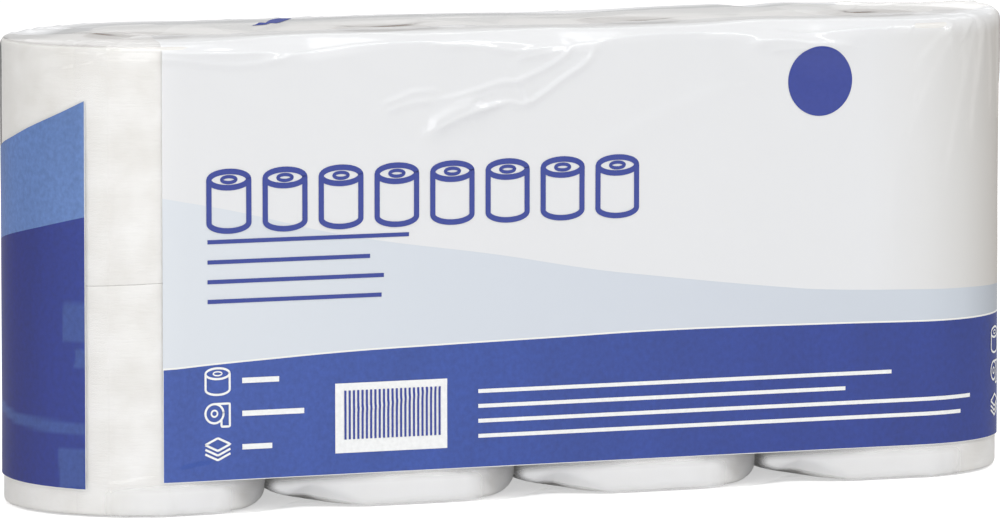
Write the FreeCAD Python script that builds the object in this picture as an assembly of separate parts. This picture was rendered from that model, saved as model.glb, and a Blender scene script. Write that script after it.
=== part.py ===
import FreeCAD, Part
import math
import os
from FreeCAD import Vector

# A pack of toilet paper: rolls standing on end in one clear film that is folded shut on top and below.
# Millimetres. X runs along the row, Y from the front to the back, Z up, and the pack rests at Z = 0.

# Rolls
ROLLS_IN_ROW = 4
LAYER_NAMES = ("lower", "upper")
ROLL_DIAMETER = 109.6        # a roll that nothing presses on
ROLL_LENGTH = 95.0           # the width of the paper
NEIGHBOUR_SQUASH = 0.6       # what the pack takes off each roll along the row
FILM_SQUASH = 0.3            # what the taut film takes off each roll from front to back
TURN_RADIUS = 36.0           # a turn of paper that stands out on the top end of each upper roll
TURN_STEP = 0.3              # how far the turns inside it stand out
TURN_SPREAD = 1.5            # how much wider that turn is at its end than at its start
TAIL_STEP = 0.35             # step at the loose end of the paper
TAIL_ANGLE = 128.0           # where the loose end lies on the first roll, degrees from +X
TAIL_ADVANCE = 77.0          # how much further round it lies on each next roll

# Cardboard cores
CORE_DIAMETER = 43.0
CORE_WALL = 0.9
CORE_FIT = 0.1               # clearance between the core and the paper

# Film
FILM_WALL = 0.4
FILM_GAP = 0.3               # clearance between the film and what it holds
EDGE_BEVEL = 1.2             # where the film turns from the sides onto the top and the bottom
FOLD_STEP = 0.3              # one more layer of film where flaps lie on each other
FLAP_REACH = 88.0            # how far a long flap comes over from its own side
FLAP_CORNER = 24.0           # from the end of the pack to the corner of a long flap
FLAP_SLOPE = 0.75            # how fast the ends of a long flap run in towards its free edge
DIP_TOP = 4.0                # how deep the film is drawn in between two rolls at the top edge
DIP_BOTTOM = 14.0            # the same at the bottom edge, where it is looser
SEAM_WIDTH = 14.0            # the lap that closes the film into a tube
SEAM_ANGLE = 39.0            # where the lap lies round the left end, degrees from the front
SEAM_STEP = 0.3

# Sizes that follow from these
LAYERS = len(LAYER_NAMES)
ROLL_RADIUS = ROLL_DIAMETER / 2
PITCH = ROLL_DIAMETER - NEIGHBOUR_SQUASH
PRESSED_DEPTH = ROLL_DIAMETER - FILM_SQUASH
ROW_HALF = (ROLLS_IN_ROW - 1) * PITCH / 2
CAVITY_RADIUS = ROLL_RADIUS + FILM_GAP
FILM_RADIUS = CAVITY_RADIUS + FILM_WALL
CLOSURE = FILM_WALL + 2 * FOLD_STEP          # film and folds at the top, and the same below
CAVITY_HEIGHT = LAYERS * ROLL_LENGTH + FILM_GAP
PACK_HEIGHT = CAVITY_HEIGHT + 2 * CLOSURE
CORE_RADIUS = CORE_DIAMETER / 2
BORE_RADIUS = CORE_RADIUS + CORE_FIT


def stadium(radius, bottom, height):
    """A prism round the whole row: straight front and back, and two quarter circles at each end."""
    edges = []
    for side in (-1, 1):
        middle = Vector(side * ROW_HALF, 0, bottom)
        first, tip, last = Vector(0, side, 0), Vector(side, 0, 0), Vector(0, -side, 0)
        for a, b in ((first, tip), (tip, last)):
            between = (a + b) / math.sqrt(2)
            edges.append(Part.Arc(*[middle + way * radius for way in (a, between, b)]).toShape())
        across = Vector(2 * side * ROW_HALF, 0, 0)
        start = middle + last * radius
        edges.append(Part.makeLine(start, start - across))
    outline = Part.Wire(Part.__sortEdges__(edges))
    return Part.Face(outline).extrude(Vector(0, 0, height))


def rim_edges(solid):
    """The edges round the top and the bottom of a prism, which are those that aren't upright."""
    return [edge for edge in solid.Edges if abs(edge.tangentAt(edge.FirstParameter).z) < 0.5]


def prism(points, bottom, height):
    """A closed outline in plan, carried straight up."""
    corners = [Vector(x, y, bottom) for x, y in points]
    return Part.Face(Part.makePolygon(corners + corners[:1])).extrude(Vector(0, 0, height))


def dip_half_width(depth):
    """The widest V of this depth that keeps the film clear of the two roll rims beside it.

    Seen along the slope of the V, a rim is an ellipse. Each place beside the junction of the rolls
    allows one width, and the smallest of them holds for all.
    """
    clear = (FILM_WALL + FILM_GAP) * math.sqrt(2)
    steps = 60
    allowed = [PITCH / 2]
    for i in range(1, steps):
        aside = i / steps * PITCH / 2
        rim = math.sqrt(ROLL_RADIUS ** 2 - (PITCH / 2 - aside) ** 2)
        room = (FILM_RADIUS - rim) / math.sqrt(2) - clear
        if depth > room > 0:
            allowed.append(aside / (1 - room / depth))
    return min(allowed)


def dips(deeper):
    """Cutters for the creases where the film is drawn in between rolls, at its top and bottom edges.

    Each is a prism with a V section, along the slope from the side onto the top or bottom.
    deeper is how much further it goes, for the inner side of the film.
    """
    cutters = []
    for depth, edge_z, up in ((DIP_TOP, PACK_HEIGHT, 1), (DIP_BOTTOM, 0, -1)):
        half = dip_half_width(depth)
        tip = depth + deeper * math.hypot(depth, half) / half
        outward = tip
        spread = half * (tip + outward) / depth
        for side in (-1, 1):
            out = Vector(0, side, up) / math.sqrt(2)
            along = Vector(0, -side, up) / math.sqrt(2)
            for i in range(ROLLS_IN_ROW - 1):
                edge = Vector((i + 1 / 2) * PITCH - ROW_HALF, side * FILM_RADIUS, edge_z)
                start = edge - along * FILM_RADIUS
                corners = [start - out * tip,
                           start + out * outward + Vector(spread, 0, 0),
                           start + out * outward - Vector(spread, 0, 0)]
                section = Part.Face(Part.makePolygon(corners + corners[:1]))
                cutters.append(section.extrude(along * 2 * FILM_RADIUS))
    return cutters


def flap_outline(side, reach, beyond):
    """A long flap in plan: its base lies along one side, and its ends run in to the free edge."""
    base = ROW_HALF + FILM_RADIUS - FLAP_CORNER
    free = base - FLAP_SLOPE * reach
    edge = side * (FILM_RADIUS - reach)
    root = side * FILM_RADIUS
    far = side * (FILM_RADIUS + beyond)
    return [(-base, far), (-base, root), (-free, edge), (free, edge), (base, root), (base, far)]


def fold_relief(bottom, outer_side):
    """What the closing folds leave lower than the outermost flap, on the top or on the bottom.

    The outer flap covers most of the inner one, which covers the two tucked ends.
    """
    beyond = 5.0
    inner_side = -outer_side
    slab = stadium(FILM_RADIUS + beyond, bottom, FOLD_STEP)
    outer_flap = prism(flap_outline(outer_side, FLAP_REACH, beyond), bottom, FOLD_STEP)
    inner_flap = prism(flap_outline(inner_side, FLAP_REACH, beyond), bottom, FOLD_STEP)
    return slab.cut(outer_flap), slab.cut(outer_flap.fuse(inner_flap))


def film_wrap():
    """The printed film, a closed bag: sides, folded top and bottom, and the lap of its seam."""
    outside = stadium(FILM_RADIUS, 0, PACK_HEIGHT)
    outside = outside.makeChamfer(EDGE_BEVEL, rim_edges(outside))
    cavity = stadium(CAVITY_RADIUS, CLOSURE, CAVITY_HEIGHT)
    outside = outside.cut(dips(0))
    cavity = cavity.cut(dips(FILM_WALL))

    top_first, top_second = fold_relief(PACK_HEIGHT - FOLD_STEP, 1)
    top_second.translate(Vector(0, 0, -FOLD_STEP))
    bottom_first, bottom_second = fold_relief(0, 1)
    bottom_second.translate(Vector(0, 0, FOLD_STEP))
    film = outside.cut([cavity, top_first, top_second, bottom_first, bottom_second])
    return film.fuse(seam_lap()).removeSplitter()


def seam_lap():
    """The raised lap of the upright seam, bent round the left end of the pack."""
    half_turn = math.degrees(SEAM_WIDTH / 2 / FILM_RADIUS)
    height = PACK_HEIGHT - 2 * EDGE_BEVEL
    root = FILM_WALL / 2
    corner = Vector(0, -(FILM_RADIUS - root), EDGE_BEVEL)
    section = Part.makePlane(height, root + SEAM_STEP, corner, Vector(1, 0, 0), Vector(0, 0, 1))
    section.rotate(Vector(0, 0, 0), Vector(0, 0, 1), -SEAM_ANGLE - half_turn)
    lap = section.revolve(Vector(0, 0, 0), Vector(0, 0, 1), 2 * half_turn)
    lap.translate(Vector(-ROW_HALF, 0, 0))
    return lap


def spiral_outline(radius, step, bottom):
    """One turn of paper seen from its end, as wide as radius where it ends, and a step less at its start.

    It is four quarter arcs. From one to the next the centre moves back by a quarter of the step,
    so that the radius grows without a corner, and a short drop closes the turn.
    """
    quarter = step / 4
    centre = Vector(0, 0, bottom)
    grown = radius - step
    edges = []
    for i in range(4):
        way = [Vector(math.cos(math.radians(a)), math.sin(math.radians(a)), 0)
               for a in (90 * i, 90 * i + 45, 90 * i + 90)]
        edges.append(Part.Arc(*[centre + w * grown for w in way]).toShape())
        centre = centre - way[2] * quarter
        grown += quarter
    drop = Part.makeLine(Vector(radius, 0, bottom), Vector(radius - step, 0, bottom))
    return Part.Face(Part.Wire(edges + [drop]))


def outside_proud_turn():
    """What is taken off the top end of a roll, outside the turn that stands out there."""
    level = ROLL_LENGTH - TURN_STEP
    ring = Part.makeCylinder(ROLL_DIAMETER, TURN_STEP, Vector(0, 0, level))
    turn = spiral_outline(TURN_RADIUS, TURN_SPREAD, level).extrude(Vector(0, 0, TURN_STEP))
    return ring.cut(turn)


def paper_roll(column, layer):
    """The wound paper of one roll, pressed flat where it meets its neighbours and the film."""
    body = spiral_outline(ROLL_RADIUS, TAIL_STEP, 0).extrude(Vector(0, 0, ROLL_LENGTH))
    if layer == LAYERS - 1:
        body = body.cut(outside_proud_turn())
    body = body.cut(Part.makeCylinder(BORE_RADIUS, ROLL_LENGTH))
    tail = TAIL_ANGLE + (column + layer * ROLLS_IN_ROW) * TAIL_ADVANCE
    body.rotate(Vector(0, 0, 0), Vector(0, 0, 1), tail)

    left = PITCH / 2 if column > 0 else ROLL_DIAMETER
    right = PITCH / 2 if column < ROLLS_IN_ROW - 1 else ROLL_DIAMETER
    pressed = Part.makeBox(left + right, PRESSED_DEPTH, ROLL_LENGTH,
                           Vector(-left, -PRESSED_DEPTH / 2, 0))
    body = body.common(pressed)
    return stand_in_row(body, column, layer)


def stand_in_row(piece, column, layer):
    """Moves a piece from the origin to its place in the row."""
    piece.translate(Vector(column * PITCH - ROW_HALF, 0, CLOSURE + layer * ROLL_LENGTH))
    return piece


def core(column, layer):
    """The cardboard tube inside a roll, as long as the paper is wide."""
    tube = Part.makeCylinder(CORE_RADIUS, ROLL_LENGTH)
    tube = tube.cut(Part.makeCylinder(CORE_RADIUS - CORE_WALL, ROLL_LENGTH))
    return stand_in_row(tube, column, layer)


def main():
    os.makedirs("parts", exist_ok=True)
    film_wrap().exportStep("parts/film_wrap.step")
    for layer, name in enumerate(LAYER_NAMES):
        for column in range(ROLLS_IN_ROW):
            place = f"{name}_{column + 1}"
            paper_roll(column, layer).exportStep(f"parts/roll_{place}.step")
            core(column, layer).exportStep(f"parts/core_{place}.step")


main()
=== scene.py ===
import math
import bpy
import numpy as np
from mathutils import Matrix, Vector


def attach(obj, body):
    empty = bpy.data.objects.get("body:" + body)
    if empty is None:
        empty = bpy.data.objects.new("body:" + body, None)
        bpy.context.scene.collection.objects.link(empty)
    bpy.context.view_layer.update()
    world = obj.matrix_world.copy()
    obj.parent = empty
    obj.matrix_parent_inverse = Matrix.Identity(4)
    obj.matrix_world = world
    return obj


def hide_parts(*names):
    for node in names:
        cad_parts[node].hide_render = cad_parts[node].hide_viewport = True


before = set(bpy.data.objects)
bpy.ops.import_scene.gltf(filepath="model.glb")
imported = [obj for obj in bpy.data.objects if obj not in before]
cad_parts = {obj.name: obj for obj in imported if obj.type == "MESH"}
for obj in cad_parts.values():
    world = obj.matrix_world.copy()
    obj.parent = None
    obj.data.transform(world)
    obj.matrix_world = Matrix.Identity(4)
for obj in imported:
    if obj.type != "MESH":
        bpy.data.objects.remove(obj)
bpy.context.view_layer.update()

# A pack of toilet paper: eight rolls in a printed film that is folded shut on top and below.
# Sizes are in millimetres until put_mesh turns them to metres. Front is -Y, and the pack stands on Z = 0.

# The pack, as in the part's source
PITCH = 109.0                     # from one roll to the next
ROW_HALF = 163.5                  # from the middle of the row to the middle of an end roll
FILM_R = 55.5                     # outside of the film, from the row's middle line
HEIGHT = 192.3
CLOSURE = 1.0                     # film under the lower rolls
ROLL_R = 54.8
ROLL_LENGTH = 95.0
BORE_R = 21.6
PRESSED_X = 54.5                  # where neighbours flatten a roll
PRESSED_Y = 54.95                 # where the taut film flattens it
LAYERS = ("lower", "upper")
ROLLS = 4

# The film's grid
HALF_ROUND = 2 * ROW_HALF + math.pi * FILM_R    # half of the way round the pack
ROUND = 2 * HALF_ROUND
COLUMNS = 1180
SOFT_LOW = 1.6                    # half widths of the rounding where the film turns a corner
SOFT_HIGH = 2.4
ROOT2 = math.sqrt(2)
DIP_TOP = (4.0 * ROOT2, 45.9)     # how much of the corner a dip takes, and its half width
DIP_BOTTOM = (11.5, 27.0)
FLAP_REACH = 88.0
FLAP_BASE = 195.0
FLAP_SLOPE = 0.75
SEAM = (-208.3, -194.3)           # the lap of the upright seam, round the pack
SEAM_STEP = 0.22                  # thickness of the lap, and width of the slope at its edges
SEAM_EDGE = 0.9

# The print: distance round the pack from the middle of the front, and height
PANEL_START = -270.0              # left edge of the end panel
PANEL_END = -204.1
FRONT_START = -172.5              # left edge of the front's print, after the clear strip


def put_mesh(name, points, faces, material, uv=None, values=None):
    """Makes a mesh object from points in millimetres and rows of four corners, and puts it on the body.

    uv holds one pair for each corner of each face, and values one number for each point.
    """
    mesh = bpy.data.meshes.new(name)
    faces = np.asarray(faces)
    mesh.vertices.add(len(points))
    mesh.vertices.foreach_set("co", (np.asarray(points) * 0.001).astype(np.float32).ravel())
    mesh.loops.add(faces.size)
    mesh.loops.foreach_set("vertex_index", faces.astype(np.int32).ravel())
    mesh.polygons.add(len(faces))
    mesh.polygons.foreach_set("loop_start", np.arange(0, faces.size, faces.shape[1], dtype=np.int32))
    mesh.polygons.foreach_set("use_smooth", np.ones(len(faces), bool))
    mesh.update(calc_edges=True)
    if uv is not None:
        layer = mesh.uv_layers.new(name="wrapped")
        layer.data.foreach_set("uv", (np.asarray(uv) * 0.001).astype(np.float32).ravel())
    for key, numbers in (values or {}).items():
        layer = mesh.attributes.new(key, "FLOAT", "POINT")
        layer.data.foreach_set("value", np.asarray(numbers, np.float32).ravel())
    mesh.validate()
    mesh.materials.append(material)
    made = bpy.data.objects.new(name, mesh)
    bpy.context.scene.collection.objects.link(made)
    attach(made, "root")
    return made


def grid_faces(rows, columns, close_rows=False, close_columns=False):
    """Four corners of each cell of a grid of points, counted row by row."""
    i = np.arange(rows if close_rows else rows - 1)[:, None]
    j = np.arange(columns if close_columns else columns - 1)[None, :]
    i2, j2 = (i + 1) % rows, (j + 1) % columns
    corners = (i * columns + j, i * columns + j2, i2 * columns + j2, i2 * columns + j)
    return np.stack(corners, -1).reshape(-1, 4)


def ease(t):
    """0 below 0, 1 above 1, and a smooth S between."""
    t = np.clip(t, 0, 1)
    return t * t * (3 - 2 * t)


def soft_over(a, k):
    """max(0, a) with its corner rounded over a width of 2 k."""
    return np.where(np.abs(a) < k, (a + k) ** 2 / (4 * k), np.maximum(a, 0))


def spline_weights(t):
    """The four weights of a cubic B-spline at t, from 0 to 1 between the two middle ones."""
    return ((1 - t) ** 3 / 6, (3 * t ** 3 - 6 * t * t + 4) / 6,
            (3 * (t + t * t - t ** 3) + 1) / 6, t ** 3 / 6)


def soft_noise(a, b, seed, around=251):
    """Smooth random heights, most of them from -1 to 1: a cubic B-spline over the random values of a
    lattice.

    a and b count cells, and the lattice closes on itself after around cells of a.
    """
    table = np.random.default_rng(seed).uniform(-1.6, 1.6, (around, 257))
    i, j = np.floor(a).astype(int), np.floor(b).astype(int)
    total = 0.0
    for di, weight_a in enumerate(spline_weights(a - i)):
        for dj, weight_b in enumerate(spline_weights(b - j)):
            total = total + weight_a * weight_b * table[(i + di - 1) % around, (j + dj - 1) % 257]
    return total


def smooth_line(points, parts=5):
    """Points along a smooth curve through the given ones.

    Between two of them the curve is a cubic whose direction at each is that of its two neighbours.
    """
    points = np.asarray(points, float)
    way = np.gradient(points, axis=0)[:, None, :]
    t = (np.arange(parts) / parts)[None, :, None]
    p, q, v, u = points[:-1, None], points[1:, None], way[:-1], way[1:]
    curve = (p * (1 + 2 * t) * (1 - t) ** 2 + v * t * (1 - t) ** 2
             + q * t * t * (3 - 2 * t) + u * t * t * (t - 1))
    return np.concatenate([curve.reshape(-1, 2), points[-1:]])


GENTLE = 2.6                      # how many times wider a fold's gentle side is than its steep side


def ridges(a, b, folds, wrap=None):
    """Height of a set of folds at the points a, b.

    A fold is (height, width, points). Its height falls off as 1 / (1 + (d / width)^2)^2 with the
    distance d from its line, and eases to nothing at both ends. It is steep on the left of its line,
    where it catches the light, and falls gently on the right. Where wrap is given, a is a distance
    round the pack, which closes on itself after that much.
    """
    a, b = np.broadcast_arrays(a, b)
    total = np.zeros(a.shape)
    for height, width, points in folds:
        line = smooth_line(points)
        lengths = np.hypot(*np.diff(line, axis=0).T)
        middle, reach = (line.min(0) + line.max(0)) / 2, np.ptp(line, axis=0) / 2 + 9 * width
        da, db = a - middle[0], b - middle[1]
        if wrap:
            da = (da + wrap / 2) % wrap - wrap / 2
        near = (np.abs(da) < reach[0]) & (np.abs(db) < reach[1])
        da, db = da[near] + middle[0], db[near] + middle[1]
        best, whole, run = np.zeros(da.shape), lengths.sum(), 0.0
        for (a0, b0), (a1, b1), length in zip(line[:-1], line[1:], lengths):
            ux, uy = (a1 - a0) / length, (b1 - b0) / length
            t = np.clip((da - a0) * ux + (db - b0) * uy, 0, length)
            d2 = (da - a0 - t * ux) ** 2 + (db - b0 - t * uy) ** 2
            wide = np.where((db - b0) * ux > (da - a0) * uy, width, GENTLE * width)
            along = (run + t) / whole
            taper = ease(along * 6) * ease((1 - along) * 6)
            best = np.maximum(best, taper / (1 + d2 / wide ** 2) ** 2)
            run += length
        total[near] += height * best
    return total


# Folds on the sides, as (height, width, points round the pack and up); those of the front follow the photo
FRONT_FOLDS = [
    (0.45, 0.9, [(-232.9, 184), (-215.2, 188.1), (-201.7, 187.8)]),
    (0.55, 1.1, [(-214, 186), (-200.8, 185.4), (-171.2, 185.4), (-143.5, 182.6), (-124.1, 184),
                 (-113.3, 187.7), (-93.8, 190.2), (-69.8, 190.6), (-26, 190.2)]),
    (0.5, 1.0, [(-205, 189.2), (-185, 189.5), (-160, 187.8), (-138, 187.4), (-122, 189.2)]),
    (0.45, 0.9, [(-224, 179), (-212, 181.5), (-198, 184.2)]),
    (0.35, 0.7, [(-204, 190.5), (-199, 187), (-192, 189.5), (-186, 187)]),
    (0.35, 0.7, [(-203, 183), (-196, 185.6), (-188, 184.4)]),
    (0.4, 0.8, [(-191.3, 181.9), (-185.3, 183.5), (-176, 184)]),
    (0.8, 1.05, [(-60, 165.5), (-46, 166.8), (-26, 172), (-18.1, 172.6), (-1.7, 179.5), (4.9, 185.4),
                 (2.7, 193)]),
    (0.85, 1.1, [(-44, 160), (-23.8, 163.8), (-14.1, 163.1), (0.5, 172), (13.8, 181), (15.1, 190)]),
    (1.6, 3.3, [(-57, 153.5), (-52, 158), (-44, 161.5), (-36, 163.5)]),
    (0.65, 0.85, [(-56.5, 152.5), (-46, 157.5), (-34, 161.2), (-24, 163.5)]),
    (0.45, 0.9, [(-13.5, 163), (-15, 168), (-18, 172.5)]),
    (0.4, 0.8, [(-48, 164), (-36, 166), (-27, 169)]),
    (0.65, 1.1, [(-79.5, 164.2), (-70, 167), (-63.3, 169.3), (-52, 169.5)]),
    (0.65, 1.1, [(-76.2, 161.8), (-64, 164.8), (-54.6, 165.6)]),
    (0.45, 0.9, [(-20, 181), (-8, 183), (3, 184.6)]),
    (0.5, 1.0, [(14, 186), (24, 189.2), (44, 190.8), (70, 190.6)]),
    (0.5, 1.0, [(-60, 188.6), (-36, 187.2), (-18, 184.5), (0, 187)]),
    (1.1, 2.2, [(84, 183.8), (92.1, 185.6), (103.3, 185.8), (114, 183.8), (126, 182.4), (134, 182)]),
    (0.4, 0.8, [(92, 181.3), (106, 181.7), (124, 180.8)]),
    (0.5, 1.0, [(92, 194), (100, 192), (106, 190.8), (114.6, 189.9), (130.5, 190.4), (150, 190)]),
    (0.4, 0.8, [(-166.5, 18.9), (-160, 20.2), (-151, 21.5)]),
    (0.4, 0.7, [(-94.1, 40.5), (-84, 41.2), (-78.8, 41.9), (-62, 46), (-46.7, 51.5)]),
    (0.3, 0.6, [(-200, 13.5), (-190, 13.9), (-181, 15.8), (-173, 17)]),
    (0.3, 0.6, [(-222, 10.2), (-213, 10.6), (-205, 11.5)]),
    (0.5, 4.5, [(10, 138), (30, 150), (62.9, 163), (84, 168)]),
    (0.4, 5.5, [(150, 96), (152, 130), (160, 160)]),
    (0.5, 3.4, [(158, 146), (170, 170), (182, 190)]),
    (0.4, 2.4, [(176, 128), (184, 160), (192, 188)]),
    (0.6, 2.6, [(190, 140), (194, 168), (199, 190)]),
    (0.5, 2.2, [(160, 172), (172, 184), (184, 192)]),
    (0.5, 2.0, [(207, 150), (206, 172), (203, 191)]),
]
# The back has folds of the same kind, the other way round, a little shorter and shifted
BACK_SHORTER = 0.93
BACK_SHIFT = 11.0
BACK_FOLDS = [(height, width, [(HALF_ROUND - BACK_SHORTER * s - BACK_SHIFT, w) for s, w in points])
              for height, width, points in FRONT_FOLDS]


def gathers(seed, count, middle, spread, low, high, foot):
    """Short upright folds where the film is gathered over an edge, at seeded random places."""
    chance = np.random.default_rng(seed)
    s = middle + spread * chance.uniform(-1, 1, count)
    reach = chance.uniform(low, high, count)
    lean = chance.normal(0, 0.12, count) * reach
    over = chance.uniform(4, 14, count)
    height = chance.uniform(0.15, 0.5, count)
    width = chance.uniform(1.1, 2.6, count)
    up = np.sign(foot - 1)
    starts = np.stack([s, foot - up * reach], -1)
    middles = np.stack([s + lean / 2, foot - up * reach / 2], -1)
    stops = np.stack([s + lean, foot + up * over], -1)
    return list(zip(height, width, np.stack([starts, middles, stops], 1)))


# Short folds that run down from the top edge beside the front's right corner
CORNER_FOLDS = [
    (0.3, 0.8, [(161, 192.5), (159.5, 190), (158, 186.5)]),
    (0.35, 0.9, [(180, 192), (177.5, 188.5), (175.5, 185)]),
    (0.4, 1.0, [(195, 192.5), (189.5, 189.5), (184, 182.5)]),
    (0.25, 0.8, [(150.5, 192), (148, 188.5)]),
]
SIDE_FOLDS = (
    FRONT_FOLDS + BACK_FOLDS + CORNER_FOLDS
    + gathers(11, 18, ROW_HALF + 90, 80, 6, 40, HEIGHT)
    + gathers(12, 16, -ROW_HALF - 100, 70, 4, 24, HEIGHT)
    + gathers(14, 8, HALF_ROUND, 160, 3, 10, HEIGHT)
    + gathers(15, 18, ROW_HALF + 87, 84, 3, 10, 0)
    + gathers(16, 18, -ROW_HALF - 87, 84, 3, 10, 0)
)


def walk(s):
    """Where distance s round the pack is: x on the row's middle line, and the way out from there.

    The front and back are straight, and each end is half a circle.
    """
    s = (s + HALF_ROUND) % ROUND - HALF_ROUND
    side = np.where(s < 0, -1.0, 1.0)
    d = np.abs(s)
    turn = np.clip((d - ROW_HALF) / FILM_R, 0, math.pi)
    back = np.maximum(0, d - ROW_HALF - math.pi * FILM_R)
    return side * (np.minimum(d, ROW_HALF) - back), side * np.sin(turn), -np.cos(turn)


def corner_cut(x, dip):
    """How much more of the corner the film cuts off where it dips between rolls.

    A dip is a tent over the junction, with a soft crest.
    """
    most, half_width = dip
    aside = np.abs((x / PITCH + 0.5) % 1 - 0.5) * PITCH
    tent = most * (1 - np.sqrt(aside ** 2 + 6) / half_width)
    return soft_over(tent - 1.5, 1.2)


def profile(x, w):
    """Distance from the row's middle line and height, for the unrolled height w.

    w is the height on the sides. Past the top or the bottom edge it goes on towards the middle.
    Each corner is cut by a slope of 45 degrees, blended in with soft_over.
    """
    r = FILM_R - np.maximum(0, np.maximum(w - HEIGHT, -w))
    z = np.clip(w, 0, HEIGHT)
    low_cut = SOFT_LOW * ROOT2 + corner_cut(x, DIP_BOTTOM)
    high_cut = SOFT_HIGH * ROOT2 + corner_cut(x, DIP_TOP)
    low = soft_over((low_cut - np.abs(w)) / ROOT2, SOFT_LOW) / ROOT2
    high = soft_over((high_cut - np.abs(w - HEIGHT)) / ROOT2, SOFT_HIGH) / ROOT2
    return r - low - high, z + low - high


def inside_flap(x, y, side):
    """Distance inside the edge of the long flap that comes over from one side; less than 0 is outside."""
    out = FILM_R - side * y
    ends = (FLAP_BASE - FLAP_SLOPE * out - np.abs(x)) / math.hypot(1, FLAP_SLOPE)
    return np.minimum(FLAP_REACH - out, ends)


def top_folds(seed, count):
    """Random creases of the folded ends, most of them along the row, as (height, width, points)."""
    chance = np.random.default_rng(seed)
    folds = []
    for x, y, turn, half, bend, height, width in zip(
            chance.uniform(-200, 200, count), chance.uniform(-48, 48, count),
            chance.normal(0, 0.35, count), chance.uniform(9, 46, count),
            chance.normal(0, 3.0, count), chance.uniform(0.15, 0.5, count),
            chance.uniform(1.2, 4.0, count)):
        ux, uy = math.cos(turn), math.sin(turn)
        folds.append((height, width, [(x - ux * half, y - uy * half), (x - uy * bend, y + ux * bend),
                                      (x + ux * half, y + uy * half)]))
    return folds


TOP_CREASES = top_folds(21, 34) + [
    (0.6, 1.8, [(-205, -44), (-170, -30), (-136, -34)]),
    (0.6, 1.8, [(205, -44), (170, -32), (132, -35)]),
    (0.6, 1.8, [(-205, 44), (-172, 30), (-140, 26)]),
    (0.6, 1.8, [(205, 44), (170, 32), (134, 27)]),
    (0.7, 1.5, [(-128, -33), (-60, -32.2), (10, -33), (70, -32.4), (128, -33)]),
]
BOTTOM_CREASES = top_folds(31, 24)


# Where the back of the top sinks: middle, width, depth, and where along Y it starts
BACK_SINKS = [(-200, 20, 2.0, 2), (45, 24, 1.5, 14), (128, 10, 1.6, 14), (176, 24, 2.4, 10)]
SINK_LENGTH = 32.0                # along Y, until a sink is full
RIM_RISE = 2.2                    # how far the top of the right end stands up, over an uneven roll
RIM_RISE_START = 204.0
RIM_RISE_LENGTH = 12.0
FLAP_STEP = 0.3                   # each flap lies this much above the one below it
FLAP_EDGE = 1.4                   # width of the slope at a flap's edge
SAG = 1.5                         # how far the film sags into the hole of a core, and how wide
SAG_R = 17.0
TOP_MEAN = 0.45                   # brings the slack film to the height of the outer flap
SLACK = ((0.55, 42, 23), (0.24, 17, 9))    # waves of the slack film: height, and cells along X and Y


def end_droop(x, y):
    """How far the top sinks at the back, where a roll below it is squashed."""
    sunk = 0.0
    for middle, width, depth, start in BACK_SINKS:
        sunk = sunk + depth * np.exp(-((x - middle) / width) ** 2) * ease((y - start) / SINK_LENGTH)
    return sunk


def end_height(x, y, creases, seed):
    """Height of a folded end against its outermost flap: the steps of the flaps, creases, and the sag
    of the film over the holes of the cores.
    """
    outer = ease(inside_flap(x, y, 1) / FLAP_EDGE + 0.5)
    inner = ease(inside_flap(x, y, -1) / FLAP_EDGE + 0.5)
    steps = FLAP_STEP * (np.maximum(inner, outer) + outer - 2)
    local = (x + ROW_HALF + PITCH / 2) % PITCH - PITCH / 2
    sag = -SAG * np.exp(-(np.hypot(local, y) / SAG_R) ** 4)
    loose = sum(height * soft_noise(x / along_x, y / along_y, seed + i)
                for i, (height, along_x, along_y) in enumerate(SLACK))
    return steps + sag + loose + TOP_MEAN - end_droop(x, y) + ridges(x, y, creases)


def waves(s, w, height, count, tall, seed):
    """Soft noise that closes on itself round the pack: count cells all the way round, tall mm high."""
    return height * soft_noise(s / ROUND * count, w / tall, seed, count)


def film_height(s, w, x, y):
    """How far the film stands out from its taut shape: slow and quick waves on the sides, quicker near
    the top, the lap of the seam, the folds, and the heights of the two folded ends. The bottom is
    pressed flat, so it keeps a part of its height only, and all of it inwards.
    """
    top = ease((w - HEIGHT - 1) / 9)
    bottom = ease((-w - 1) / 9)
    sides = (1 - top) * (1 - bottom)
    taut = waves(s, w, 0.16, 24, 55, 41) + waves(s, w, 0.09, 70, 19, 42)
    taut = taut + ease((w - 150) / 40) * waves(s, w, 0.16, 150, 7, 43)
    lap = ease((s - SEAM[0]) / SEAM_EDGE + 0.5) * ease((SEAM[1] - s) / SEAM_EDGE + 0.5)
    folds = ridges(s, w, SIDE_FOLDS, ROUND)
    fading = ease((HEIGHT + 18 - w) / 12) * ease((18 + w) / 12)
    return ((taut + SEAM_STEP * lap) * sides + folds * fading
            + top * end_height(x, y, TOP_CREASES, 51)
            + bottom * np.clip(0.4 * end_height(x, y, BOTTOM_CREASES, 61) - 0.4, -1, 0))


def film_points(s, w, lift=0.0):
    """The film's surface at distance s round the pack and unrolled height w: the taut shape, moved out
    along its profile's normal by film_height.
    """
    x, nx, ny = walk(s)
    r0, z0 = profile(x, w - 0.05)
    r1, z1 = profile(x, w + 0.05)
    size = np.hypot(r1 - r0, z1 - z0)
    out, up = (z1 - z0) / size, (r0 - r1) / size
    r, z = profile(x, w)
    rise = RIM_RISE * ease((x + nx * r - RIM_RISE_START) / RIM_RISE_LENGTH)
    z = z + rise * ease((w - 160) / 30)
    h = film_height(s, w, x + nx * r, ny * r) + lift
    return np.stack([x + nx * (r + out * h), ny * (r + out * h), np.maximum(z + up * h, 0.05)], -1)


def artwork(s):
    """The place on the printed artwork at distance s round the pack; it comes twice on the way round."""
    return (s - PANEL_START) % HALF_ROUND + PANEL_START


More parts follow.
